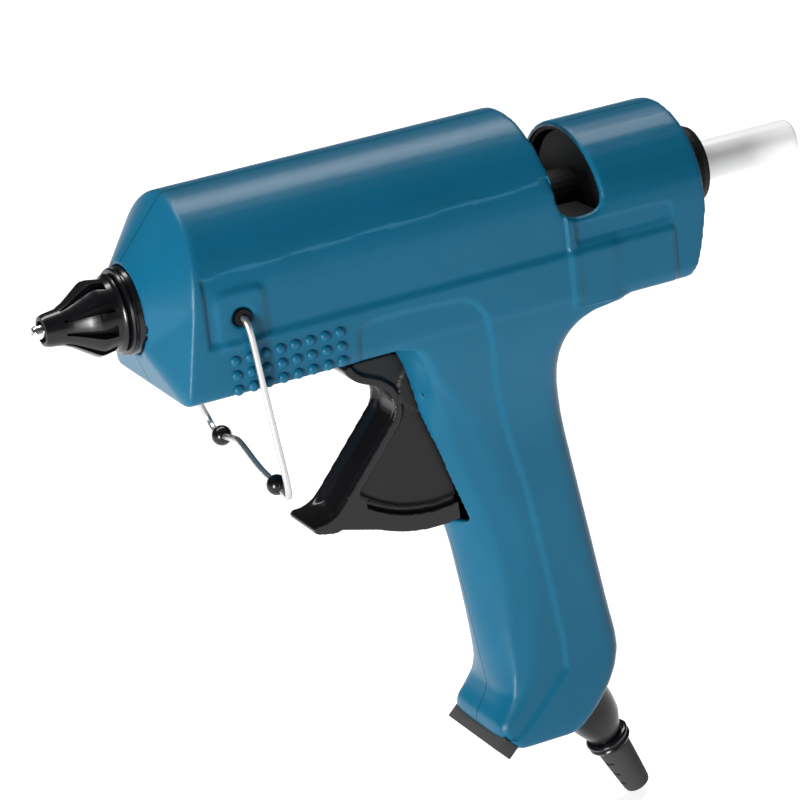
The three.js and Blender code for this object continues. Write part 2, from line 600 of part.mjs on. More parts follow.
// ---------------------------------------------------------------- rear guide and stick
const stickGuide = () => {
  const bore = STICK.r + CLEAR.bore + 0.3;
  const insideEnd = REAR.end - WALL - CLEAR.liner;
  const liner = archSection(REAR.r - WALL - CLEAR.liner, 0, -12, 2, 16);
  const tube = turned([
    [GUIDE.tubeFrontX, bore],
    [GUIDE.tubeFrontX, GUIDE.tubeR],
    [GUIDE.frontX + 1, GUIDE.tubeR],
    [GUIDE.frontX + 1, bore],
  ]);
  const endX = GUIDE.collarEndX;
  const round = GUIDE.collarRound;
  const collar = turned([
    [insideEnd - 1, bore],
    [insideEnd - 1, GUIDE.collarR],
    [endX - round, GUIDE.collarR],
    [endX - round * 0.3, GUIDE.collarR - round * 0.3],
    [endX, GUIDE.collarR - round],
    [endX, bore + 1.6],
    [endX - 2, bore],
  ], 36);
  const liningBlock = solidOf(alongX(shapeOf(liner), GUIDE.frontX, insideEnd));
  const body = cut(liningBlock, solidOf(rodX(bore, 100, 160, 0, 0, 28)));
  return join(body, solidOf(tube), solidOf(collar));
};

const glueStick = () =>
  turned([
    [STICK.front, 0],
    [STICK.front, STICK.r - 0.6],
    [STICK.front + 0.8, STICK.r],
    [STICK.rear - 0.5, STICK.r],
    [STICK.rear, STICK.r - 0.5],
    [STICK.rear, 0],
  ]);

// ---------------------------------------------------------------- wire stand
const STAND_PATH = [
  [STAND.x, -STAND.endY, STAND.z],
  [STAND.x, -24, STAND.z],
  [STAND.x, -26.4, STAND.z - 0.3],
  [STAND.x + 0.3, -STAND.legY, -3.4],
  [STAND.x + 2, -STAND.legY - 0.1, -18],
  [STAND.x + 3.9, -STAND.legY - 0.1, -35],
  [STAND.x + 5.5, -STAND.legY, -50],
  [STAND.x + 5.7, -26.3, -52.2],
  [11.4, -24.2, -51.3],
  [11, -21.5, -50],
  [10.9, -12, -48.3],
  [12.2, 4, -45.6],
  [12.8, 9, -46.4],
  [13, 18, -48.2],
  [13.4, 24.6, -48],
  [13.3, 27, -46],
  [STAND.x + 4.6, STAND.legY + 0.1, -38],
  [STAND.x + 2, STAND.legY + 0.1, -18],
  [STAND.x + 0.3, STAND.legY, -3.4],
  [STAND.x, 26.4, STAND.z - 0.3],
  [STAND.x, 24, STAND.z],
  [STAND.x, STAND.endY, STAND.z],
];

const ballSeats = { left: [11, -21.5, -50], right: [13, 18, -48.2] };
const standWire = () => wire(STAND_PATH, STAND.wireR, 96, 4);
const standFoot = (centre, path) => {
  const sphere = new THREE.SphereGeometry(FOOT_BALL_R, 16, 12).rotateX(Math.PI / 2);
  const ball = solidOf(sphere.translate(...centre));
  return ball.subtract(solidOf(path));
};

const standBush = (side) => {
  const { x, z, bushR, wireR } = STAND;
  const ends = [side * (STAND.endY + 0.8), side * (BARREL.r + 0.3)].sort((a, b) => a - b);
  return cut(solidOf(rodY(bushR, ...ends, x, z, 20)), solidOf(rodY(wireR + 0.25, -40, 40, x, z, 16)));
};

// ---------------------------------------------------------------- electrics in the handle
const circuitBoard = () => block(BOARD.x0, BOARD.x1, BOARD.y, BOARD.y + BOARD.thick, BOARD.z0, BOARD.z1);
const capacitor = () => rodY(4.5, BOARD.y - 9.3, BOARD.y - CLEAR.touch, 87, BOARD.z1 - 11, 20);
const triac = () => block(82, 92, BOARD.y - 4.8, BOARD.y - CLEAR.touch, BOARD.z0 + 12, BOARD.z0 + 24);
const terminalBlock = () => {
  const z = BOARD.z0 + 1;
  const body = solidOf(block(84, 95, BOARD.y - 8.3, BOARD.y - CLEAR.touch, z, z + 7));
  const ports = [87, 92].map((x) => solidOf(rodY(1.3, BOARD.y - 9, BOARD.y - 4, x, z + 3.5, 10)));
  return cut(body, ...ports);
};

// A heater wire: past the rear support, along the barrel's wall, down the back of the handle to the board.
const lead = (side) => {
  const startX = HEATER.startX + HEATER.length - 4;
  const startY = CHAMBER.half + HEATER.thick + 1.6;
  const path = [
    [startX, startY, -4],
    [SUPPORT.rearX - 2, SUPPORT.half + 1.6, -8],
    [SUPPORT.rearX + 4, SUPPORT.half + 2.2, -9.5],
    [42, 16, -15],
    [60, 16, -17],
    [76, 13, -21],
    [82.5, 10.5, -33],
    [88, 9.6, -48],
    [93, 8.8, -66],
    [92.5, 7.5, -80],
    [91, 5.9, BOARD.z1 - 3],
  ];
  const end = path[path.length - 1];
  if (side < 0) end[1] = -BOARD.y + 2.4;
  return wire(path.map(([x, y, z]) => [x, side * y, z]), 0.9, 48, 2);
};

// ---------------------------------------------------------------- connector at the foot
const plugDirection = new THREE.Vector3(PLUG.tiltX, 0, PLUG.tiltZ).normalize();
// Turns a piece drawn about the Z axis, pointing down from the origin, onto the connector's axis.
const onPlugAxis = (geometry, along) =>
  geometry
    .applyQuaternion(new THREE.Quaternion().setFromUnitVectors(new THREE.Vector3(0, 0, -1), plugDirection))
    .translate(PLUG.rootX + plugDirection.x * along, 0, PLUG.rootZ + plugDirection.z * along);

// A tapered round piece from z = 0 down to -length.
const taper = (r0, r1, length, sides = 28) =>
  new THREE.CylinderGeometry(r0, r1, length, sides).rotateX(Math.PI / 2).translate(0, 0, -length / 2);

const plugBody = (grow) => solidOf(onPlugAxis(taper(7.8 + grow, 5.2 + grow, 9 + PLUG.buried), -PLUG.buried));
const plugSocketTool = () =>
  solidOf(onPlugAxis(taper(8.1 + CLEAR.touch, 6 + CLEAR.touch, 7 + PLUG.buried), -PLUG.buried - 0.4));
const cordPlug = () => plugBody(0);
const plugCollar = () => solidOf(onPlugAxis(taper(6.5, 6.3, 3.6), 9 + CLEAR.touch));
const strainRelief = () => {
  const start = 12.9 + CLEAR.touch;
  const body = solidOf(onPlugAxis(taper(5, 3.8, 16.6), start));
  const bore = solidOf(onPlugAxis(taper(2.9, 2.9, 4), start + 14));
  const grooves = [4.2, 8.2, 12].map((s) => {
    const core = 4.2 - s * 0.07;
    const left = solidOf(onPlugAxis(taper(core, core, 3), start + s - 1));
    return solidOf(onPlugAxis(taper(8, 8, 1), start + s)).subtract(left);
  });
  return cut(body, bore, ...grooves);
};
const inletSocket = () => solidOf(onPlugAxis(taper(3.2, 3.2, 6), -PLUG.buried - 9.6));

const footPad = () => {
  const c = FOOT.chamfer;
  const x = handleFront(FOOT.bottom + c) + c * 0.47;
  const z = FOOT.bottom + c / 2;
  const out = new THREE.Vector2(-c, -c * 0.94).normalize();
  const angle = Math.atan2(-c, c * 0.94);
  const thick = 3;
  return new THREE.BoxGeometry(5.6, 30, thick)
    .rotateY(-angle)
    .translate(x + out.x * (thick / 2 + CLEAR.touch), 0, z + out.y * (thick / 2 + CLEAR.touch));
};

// ---------------------------------------------------------------- materials and assembly
const paint = (color, roughness, metalness = 0) =>
  new THREE.MeshStandardMaterial({ color, roughness, metalness });
const MATERIAL = {
  blue: paint(0x1f6488, 0.55),
  black: paint(0x141516, 0.4),
  blackMatte: paint(0x242527, 0.7),
  rubber: paint(0x18191a, 0.85),
  steel: paint(0xb9bcc0, 0.3, 1),
  aluminium: paint(0xc4c7ca, 0.35, 1),
  ceramic: paint(0xe6e1d4, 0.6),
  silicone: paint(0xb4472d, 0.7),
  phenolic: paint(0x8a6b42, 0.7),
  glue: paint(0xe9e9e6, 0.35),
  board: paint(0x2f6b3a, 0.5),
  lead: paint(0xd9d6cc, 0.6),
};

const design = new THREE.Group();
const place = (name, shape, material) => {
  const geometry = shape.isBufferGeometry ? shape : geometryOf(shape);
  const mesh = new THREE.Mesh(geometry, MATERIAL[material]);
  mesh.name = name;
  design.add(mesh);
};

const [leftHalf, rightHalf] = housingHalves();
place("housing_left", leftHalf, "blue");
place("housing_right", rightHalf, "blue");
SCREWS.forEach((s, i) => place(`screw_${i + 1}`, screwSolid(s), "steel"));

place("nozzle_tip", nozzleTip(), "steel");
place("valve_ball", new THREE.SphereGeometry(2.2, 16, 12).translate(NOZZLE.ballX, 0, 0), "steel");
place("valve_spring", valveSpring(), "steel");
place("nozzle_sleeve", nozzleSleeve(), "black");
place("nozzle_collar", nozzleCollar(), "black");
place("melt_chamber", meltChamber(), "aluminium");
place("heater_left", heaterPlate(-1), "ceramic");
place("heater_right", heaterPlate(1), "ceramic");
place("heater_clip", heaterClip(), "steel");
place("thermal_cutout", block(17.5, 25.5, -4, 4, CHAMBER.top + CLEAR.touch, CHAMBER.top + 4), "ceramic");
place("inlet_sleeve", inletSleeve(), "silicone");
place("chamber_support_front", chamberSupport(SUPPORT.frontX), "phenolic");
place("chamber_support_rear", chamberSupport(SUPPORT.rearX), "phenolic");

place("feed_carriage", feedCarriage(), "blackMatte");
place("clamp_lever", clampLever(), "steel");
const clampPinEnd = LEVER.half + 3.4;
place("clamp_pin", rodY(LEVER.pinR, -clampPinEnd, clampPinEnd, LEVER.pivotX, LEVER.pivotZ), "steel");
place("trigger", triggerSolid(), "black");
place("trigger_pin", rodY(TRIGGER.pinR, -13, 13, TRIGGER.pivotX, TRIGGER.pivotZ, 20), "steel");
place("trigger_spring", triggerSpring(), "steel");

place("stick_guide", stickGuide(), "blackMatte");
place("glue_stick", glueStick(), "glue");

place("stand_wire", standWire(), "steel");
const ballBore = () => wire(STAND_PATH, STAND.wireR + CLEAR.pin, 96, 4);
place("stand_foot_left", standFoot(ballSeats.left, ballBore()), "rubber");
place("stand_foot_right", standFoot(ballSeats.right, ballBore()), "rubber");
place("stand_bush_left", standBush(-1), "black");
place("stand_bush_right", standBush(1), "black");

place("circuit_board", circuitBoard(), "board");
place("capacitor", capacitor(), "black");
place("triac", triac(), "black");
place("terminal_block", terminalBlock(), "board");
place("lead_live", lead(-1), "lead");
place("lead_neutral", lead(1), "lead");
place("inlet_socket", inletSocket(), "black");
place("cord_plug", cordPlug(), "black");
place("plug_collar", plugCollar(), "black");
place("strain_relief", strainRelief(), "rubber");
place("foot_pad", footPad(), "rubber");

// The origin goes to the middle of the bottom of the whole gun.
const box = new THREE.Box3().setFromObject(design);
design.position.set(-(box.min.x + box.max.x) / 2, -(box.min.y + box.max.y) / 2, -box.min.z);

const gun = new THREE.Group();
gun.add(design);
export default gun;
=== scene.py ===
"""Looks of a hot-melt glue gun with a wire stand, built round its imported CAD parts.

Sizes in this file are millimetres in the design frame: X on the glue stick's axis
towards the rear, the left half at -Y, +Z up. Bench.at turns them into scene metres.
"""

import logging
import math
from dataclasses import dataclass, field
from enum import Enum
from typing import Callable, Sequence

import bpy
import numpy as np
from mathutils import Matrix, Vector

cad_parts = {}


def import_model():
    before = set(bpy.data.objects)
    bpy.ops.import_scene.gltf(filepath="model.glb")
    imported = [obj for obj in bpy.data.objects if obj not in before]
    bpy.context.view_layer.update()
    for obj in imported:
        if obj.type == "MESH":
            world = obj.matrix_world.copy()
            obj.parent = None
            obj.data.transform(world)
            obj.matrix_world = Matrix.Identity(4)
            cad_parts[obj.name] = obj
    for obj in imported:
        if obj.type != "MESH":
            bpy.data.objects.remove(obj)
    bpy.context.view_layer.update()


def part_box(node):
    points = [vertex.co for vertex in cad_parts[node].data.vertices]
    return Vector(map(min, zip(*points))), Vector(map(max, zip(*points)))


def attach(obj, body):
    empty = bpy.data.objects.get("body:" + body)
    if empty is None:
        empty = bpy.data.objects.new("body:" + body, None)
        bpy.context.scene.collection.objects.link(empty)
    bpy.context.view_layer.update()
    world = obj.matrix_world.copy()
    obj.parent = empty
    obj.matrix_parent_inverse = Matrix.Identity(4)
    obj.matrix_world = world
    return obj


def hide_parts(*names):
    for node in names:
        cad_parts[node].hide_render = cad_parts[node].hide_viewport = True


log = logging.getLogger("glue_gun")

Point = tuple[float, float, float]
Outline = Sequence[tuple[float, float]]
MM = 0.001


class Side(Enum):
    """A half of the gun, by the sign of its Y."""

    LEFT = -1
    RIGHT = 1


class Grain(Enum):
    """The fine relief of a finish."""

    NONE = "none"
    SPARK = "spark"
    SATIN = "satin"
    BRUSHED = "brushed"


# ---------------------------------------------------------------- bench: frame and tools
class Bench:
    """Where the design frame lies in the scene, and the hand tools of the model."""

    shift: Vector = Vector((0, 0, 0))
    stick_end: float = 185.6
    cad_weld: float = 0.01
    weld: float = 0.002

    @classmethod
    def settle(cls) -> None:
        """Reads the design frame's place from the glue stick, whose rear end is at stick_end."""
        low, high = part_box("glue_stick")
        cls.shift = Vector((high.x - cls.stick_end * MM, (low.y + high.y) / 2, (low.z + high.z) / 2))

    @classmethod
    def at(cls, x: float, y: float, z: float) -> Vector:
        """A design point in scene metres."""
        return cls.shift + Vector((x, y, z)) * MM

    @staticmethod
    def clear() -> None:
        """Deselects everything, in object mode."""
        if bpy.context.object and bpy.context.object.mode != "OBJECT":
            bpy.ops.object.mode_set(mode="OBJECT")
        bpy.ops.object.select_all(action="DESELECT")

    @classmethod
    def hold(cls, *pieces: bpy.types.Object) -> None:
        """Selects the pieces and makes the first one active."""
        cls.clear()
        for piece in pieces:
            piece.select_set(True)
        bpy.context.view_layer.objects.active = pieces[0]

    @classmethod
    def taken(cls, name: str) -> bpy.types.Object:
        """Names the piece that an operator has just added.

        Args:
            name: the piece's name.

        Returns:
            The active object, with its mesh named too.
        """
        piece = bpy.context.object
        piece.name = name
        piece.data.name = name
        return piece

    @staticmethod
    def add(name: str, data: bpy.types.ID) -> bpy.types.Object:
        """A new object of that data, linked into the scene."""
        piece = bpy.data.objects.new(name, data)
        bpy.context.scene.collection.objects.link(piece)
        return piece

    @classmethod
    def copy_node(cls, node: str, name: str) -> bpy.types.Object:
        """A merged copy of a CAD node, ready to be shaped.

        Args:
            node: the CAD node's name.
            name: the new piece's name.

        Returns:
            The new piece, with no parent and no material.
        """
        piece = cls.add(name, bpy.data.objects[node].data.copy())
        piece.data.materials.clear()
        cls.hold(piece)
        bpy.ops.object.mode_set(mode="EDIT")
        bpy.ops.mesh.select_all(action="SELECT")
        bpy.ops.mesh.remove_doubles(threshold=cls.cad_weld * MM)
        bpy.ops.object.mode_set(mode="OBJECT")
        return piece

    @classmethod
    def modify(cls, piece: bpy.types.Object, kind: str, **settings: object) -> None:
        """Adds a modifier to a piece and applies it.

        Args:
            piece: the piece to change.
            kind: the modifier's type.
            settings: the modifier's values by name.
        """
        cls.hold(piece)
        modifier = piece.modifiers.new(kind.title(), kind)
        for key, value in settings.items():
            setattr(modifier, key, value)
        bpy.ops.object.modifier_apply(modifier=modifier.name)

    @classmethod
    def carve(cls, piece: bpy.types.Object, tool: bpy.types.Object, how: str = "DIFFERENCE") -> None:
        """Cuts, joins or keeps the common part of a piece and a tool, which is used up."""
        cls.modify(piece, "BOOLEAN", operation=how, object=tool, solver="EXACT")
        bpy.data.objects.remove(tool)

    @classmethod
    def join(cls, name: str, pieces: Sequence[bpy.types.Object]) -> bpy.types.Object:
        """Joins pieces into one object of that name."""
        cls.hold(*pieces)
        bpy.ops.object.join()
        return cls.taken(name)

    @classmethod
    def settle_mesh(cls, piece: bpy.types.Object, angle: float = 40) -> bpy.types.Object:
        """Puts a piece's place into its mesh, points its faces out and smooths it.

        Args:
            piece: a finished piece.
            angle: edges sharper than this many degrees stay sharp.

        Returns:
            The same piece.
        """
        cls.hold(piece)
        bpy.ops.object.transform_apply(location=True, rotation=True, scale=True)
        bpy.ops.object.mode_set(mode="EDIT")
        bpy.ops.mesh.select_all(action="SELECT")
        bpy.ops.mesh.remove_doubles(threshold=cls.weld * MM)
        bpy.ops.mesh.normals_make_consistent(inside=False)
        bpy.ops.object.mode_set(mode="OBJECT")
        bpy.ops.object.shade_smooth_by_angle(angle=math.radians(angle))
        return piece

    @classmethod
    def block(cls, name: str, low: Point, high: Point) -> bpy.types.Object:
        """A box between two design corners.

        Args:
            name: the piece's name.
            low: the lowest corner.
            high: the highest corner.

        Returns:
            The box.
        """
        cls.clear()
        a, b = cls.at(*low), cls.at(*high)
        bpy.ops.mesh.primitive_cube_add(size=1, location=(a + b) / 2, scale=b - a)
        piece = cls.taken(name)
        bpy.ops.object.transform_apply(location=True, rotation=True, scale=True)
        return piece

    @classmethod
    def turned(
        cls,
        name: str,
        stations: Sequence[tuple[float, float]],
        base: Point = (0, 0, 0),
        along: Point = (1, 0, 0),
        sides: int = 64,
        ring: bool = False,
    ) -> bpy.types.Object:
        """A round piece: a circle extruded and resized from station to station.

        Args:
            name: the piece's name.
            stations: pairs of (distance along the axis, radius).
            base: the axis's start in the design frame.
            along: the axis's direction.
            sides: how many sides the circle has.
            ring: the stations go round a loop, so the last joins the first.

        Returns:
            The piece, turned onto its axis.
        """
        cls.clear()
        start, radius = stations[0]
        bpy.ops.mesh.primitive_circle_add(vertices=sides, radius=radius * MM, location=(0, 0, start * MM))
        piece = cls.taken(name)
        bpy.ops.object.transform_apply(location=True, rotation=True, scale=True)
        bpy.ops.object.mode_set(mode="EDIT")
        bpy.ops.mesh.select_all(action="SELECT")
        if not ring:
            bpy.ops.mesh.edge_face_add()
        for place, wide in stations[1:] if not ring else [*stations[1:], stations[0]]:
            bpy.ops.mesh.extrude_region_move(TRANSFORM_OT_translate={"value": (0, 0, (place - start) * MM)})
            scale = wide / radius
            bpy.ops.transform.resize(value=(scale, scale, 1), center_override=(0, 0, place * MM))
            start, radius = place, wide
        bpy.ops.object.mode_set(mode="OBJECT")
        turn = Vector((0, 0, 1)).rotation_difference(Vector(along)).to_matrix().to_4x4()
        piece.data.transform(Matrix.Translation(cls.at(*base)) @ turn)
        return cls.settle_mesh(piece)

    @classmethod
    def reshape(cls, piece: bpy.types.Object, move: Callable[[np.ndarray], np.ndarray]) -> None:
        """Moves a piece's vertices by a function of their design millimetres.

        Args:
            piece: the piece to change.
            move: takes an array of points in the design frame and returns it changed.
        """
        count = len(piece.data.vertices)
        flat = np.empty(count * 3, np.float32)
        piece.data.vertices.foreach_get("co", flat)
        shift = np.array(cls.shift)
        points = (flat.reshape(-1, 3) - shift) / MM
        flat = (move(points.astype(float)) * MM + shift).astype(np.float32).ravel()
        piece.data.vertices.foreach_set("co", flat)
        piece.data.update()

    @classmethod
    def face_centres(cls, piece: bpy.types.Object) -> np.ndarray:
        """The faces' middles in design millimetres."""
        flat = np.empty(len(piece.data.polygons) * 3, np.float32)
        piece.data.polygons.foreach_get("center", flat)
        return (flat.reshape(-1, 3) - np.array(cls.shift)) / MM

    @classmethod
    def face_normals(cls, piece: bpy.types.Object) -> np.ndarray:
        """The faces' outward directions."""
        flat = np.empty(len(piece.data.polygons) * 3, np.float32)
        piece.data.polygons.foreach_get("normal", flat)
        return flat.reshape(-1, 3)

    @staticmethod
    def hand_over(piece: bpy.types.Object, body: str, slot: str, *nodes: str) -> bpy.types.Object:
        """Lets a piece ride on a body and hides the CAD nodes that it stands for."""
        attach(piece, body)
        if nodes:
            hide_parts(*nodes)
        return piece


def smoothstep(value: np.ndarray, low: float, high: float) -> np.ndarray:
    """0 below low, 1 above high, and an even S between them."""
    t = np.clip((value - low) / (high - low), 0, 1)
    return t * t * (3 - 2 * t)


def outline_distance(x: np.ndarray, z: np.ndarray, outline: Outline, closed: bool = True) -> np.ndarray:
    """Distance of points to an outline, positive inside it.

    Args:
        x: the points' first coordinate.
        z: the points' second coordinate.
        outline: the outline's corners in order.
        closed: whether the last corner joins the first; if not, all distances are positive.

    Returns:
        One distance a point.
    """
    best = np.full(len(x), 1e9)
    inside = np.zeros(len(x), bool)
    corners = list(outline)
    pairs = zip(corners, corners[1:] + corners[:1]) if closed else zip(corners, corners[1:])
    for (ax, az), (bx, bz) in pairs:
        dx, dz = bx - ax, bz - az
        t = np.clip(((x - ax) * dx + (z - az) * dz) / (dx * dx + dz * dz), 0, 1)
        best = np.minimum(best, np.hypot(x - ax - t * dx, z - az - t * dz))
        if closed and az != bz:
            crosses = (az > z) != (bz > z)
            inside ^= crosses & (x < ax + (z - az) * dx / (bz - az))
    return np.where(inside, best, -best) if closed else best


def smooth_path(points: Sequence[Point], steps: int) -> list[Vector]:
    """A centripetal Catmull-Rom curve through points, as CAD draws the wire.

    Args:
        points: the points it passes, in the design frame.
        steps: how many samples each stretch gets.

    Returns:
        The samples, the last point among them.
    """
    knots = [Vector(p) for p in points]
    knots = [knots[0] * 2 - knots[1], *knots, knots[-1] * 2 - knots[-2]]
    samples = []
    for p0, p1, p2, p3 in zip(knots, knots[1:], knots[2:], knots[3:]):
        t0 = 0.0
        t1 = t0 + max((p1 - p0).length, 1e-6) ** 0.5
        t2 = t1 + max((p2 - p1).length, 1e-6) ** 0.5
        t3 = t2 + max((p3 - p2).length, 1e-6) ** 0.5
        for i in range(steps):
            t = t1 + (t2 - t1) * i / steps
            a1 = p0.lerp(p1, (t - t0) / (t1 - t0))
            a2 = p1.lerp(p2, (t - t1) / (t2 - t1))
            a3 = p2.lerp(p3, (t - t2) / (t3 - t2))
            b1 = a1.lerp(a2, (t - t0) / (t2 - t0))
            b2 = a2.lerp(a3, (t - t1) / (t3 - t1))
            samples.append(b1.lerp(b2, (t - t1) / (t2 - t1)))
    return [*samples, knots[-2]]


# ---------------------------------------------------------------- finishes
@dataclass(frozen=True)
class Finish:
    """A surface: its colour, how it shines and the fine relief it carries."""

    name: str
    colour: Point
    roughness: float
    metallic: float = 0.0
    grain: Grain = Grain.NONE
    depth: float = 0.02
    size: float = 0.5
    mottle: float = 0.0
    milky: float = 0.0
    specular: float = 0.5

    def material(self) -> bpy.types.Material:
        """The finish as a node material, made once."""
        known = bpy.data.materials.get(self.name)
        if known:
            return known
        material = bpy.data.materials.new(self.name)
        material.use_nodes = True
        nodes, links = material.node_tree.nodes, material.node_tree.links
        shader = nodes["Principled BSDF"]
        shader.inputs["Base Color"].default_value = (*self.colour, 1)
        shader.inputs["Roughness"].default_value = self.roughness
        shader.inputs["Metallic"].default_value = self.metallic
        shader.inputs["Specular IOR Level"].default_value = self.specular
        if self.milky:
            shader.inputs["Subsurface Weight"].default_value = self.milky
            shader.inputs["Subsurface Radius"].default_value = (0.006, 0.006, 0.006)
            shader.inputs["Subsurface Scale"].default_value = 1.0
        place = nodes.new("ShaderNodeTexCoord")
        if self.mottle:
            self._mottle(nodes, links, shader, place)
        if self.grain is not Grain.NONE:
            self._relief(nodes, links, shader, place)
        return material

    def _mottle(self, nodes: object, links: object, shader: object, place: object) -> None:
        """Lets the colour drift a little from place to place."""
        cloud = nodes.new("ShaderNodeTexNoise")
        cloud.inputs["Scale"].default_value = 60
        cloud.inputs["Detail"].default_value = 3
        ramp = nodes.new("ShaderNodeValToRGB")
        low, high = ramp.color_ramp.elements
        low.position, high.position = 0.3, 0.7
        low.color = (*[c * (1 - self.mottle) for c in self.colour], 1)
        high.color = (*[min(1, c * (1 + self.mottle)) for c in self.colour], 1)
        links.new(place.outputs["Object"], cloud.inputs["Vector"])
        links.new(cloud.outputs["Fac"], ramp.inputs["Fac"])
        links.new(ramp.outputs["Color"], shader.inputs["Base Color"])

    def _relief(self, nodes: object, links: object, shader: object, place: object) -> None:
        """Adds the fine relief of the mould, or the lines that a brush leaves."""
        mapping = nodes.new("ShaderNodeMapping")
        stretch = (0.04, 1, 1) if self.grain is Grain.BRUSHED else (1, 1, 1)
        mapping.inputs["Scale"].default_value = stretch
        noise = nodes.new("ShaderNodeTexNoise")
        noise.inputs["Scale"].default_value = 1 / (self.size * MM)
        noise.inputs["Detail"].default_value = 2 if self.grain is Grain.SPARK else 4
        noise.inputs["Roughness"].default_value = 0.55
        bump = nodes.new("ShaderNodeBump")
        bump.inputs["Strength"].default_value = 1.0
        bump.inputs["Distance"].default_value = self.depth * MM
        links.new(place.outputs["Object"], mapping.inputs["Vector"])
        links.new(mapping.outputs["Vector"], noise.inputs["Vector"])
        links.new(noise.outputs["Fac"], bump.inputs["Height"])
        links.new(bump.outputs["Normal"], shader.inputs["Normal"])


BLUE = Finish("blue_moulded_plastic", (0.003, 0.096, 0.176), 0.34, grain=Grain.SPARK, depth=0.045,
              size=0.42, mottle=0.04, specular=0.22)
# Black painted shade for the housing's notch and inward faces, the core behind the guard's windows and the
# stick guide, where the inside lies in shadow; the stand's bushes are plain black.
SHADE_AND_PLASTIC_BLACK = Finish("black_inside", (0.004, 0.004, 0.005), 0.6, grain=Grain.SATIN, depth=0.01, specular=0.2)
GLOSS_BLACK = Finish("gloss_black_plastic", (0.004, 0.004, 0.005), 0.22, grain=Grain.SATIN, depth=0.004,
                     size=0.8, specular=0.4)
SATIN_BLACK = Finish("satin_black_plastic", (0.010, 0.010, 0.011), 0.5, grain=Grain.SPARK, depth=0.03,
                     size=0.35, specular=0.3)
RUBBER = Finish("black_rubber", (0.009, 0.009, 0.010), 0.42, grain=Grain.SATIN, depth=0.012, size=0.6)
BRIGHT_STEEL = Finish("bright_steel", (0.80, 0.80, 0.81), 0.2, 1.0, Grain.BRUSHED, 0.004, 0.25)
WHITE_WIRE = Finish("plated_wire", (0.62, 0.62, 0.61), 0.3, 0.9, Grain.SATIN, 0.004, 0.5)
CAST = Finish("cast_aluminium", (0.55, 0.55, 0.56), 0.5, 1.0, Grain.SATIN, 0.03, 0.6)
CERAMIC = Finish("fired_ceramic", (0.72, 0.68, 0.58), 0.6, grain=Grain.SATIN, depth=0.02, mottle=0.05)
SILICONE = Finish("red_silicone", (0.36, 0.06, 0.02), 0.5, grain=Grain.SATIN, depth=0.01)
LAMINATE = Finish("brown_laminate", (0.2, 0.11, 0.04), 0.6, grain=Grain.SATIN, depth=0.02, mottle=0.15)
BOARD = Finish("green_board", (0.02, 0.12, 0.04), 0.35, grain=Grain.SATIN, depth=0.006, mottle=0.08)
SLEEVING = Finish("woven_sleeving", (0.62, 0.58, 0.48), 0.75, grain=Grain.SPARK, depth=0.03, size=0.5)
GLUE = Finish("milky_glue", (0.9, 0.9, 0.9), 0.34, grain=Grain.SATIN, depth=0.01, size=1.5, milky=0.25)


def dress(piece: bpy.types.Object, *finishes: Finish) -> None:
    """Gives a piece its finishes, the first one on all of its faces."""
    piece.data.materials.clear()
    for finish in finishes:
        piece.data.materials.append(finish.material())


def paint_faces(piece: bpy.types.Object, chosen: np.ndarray, index: int) -> None:
    """Puts the chosen faces into the piece's finish of that index."""
    slots = np.zeros(len(piece.data.polygons), np.int32)
    piece.data.polygons.foreach_get("material_index", slots)
    slots[chosen] = index
    piece.data.polygons.foreach_set("material_index", slots)
    piece.data.update()


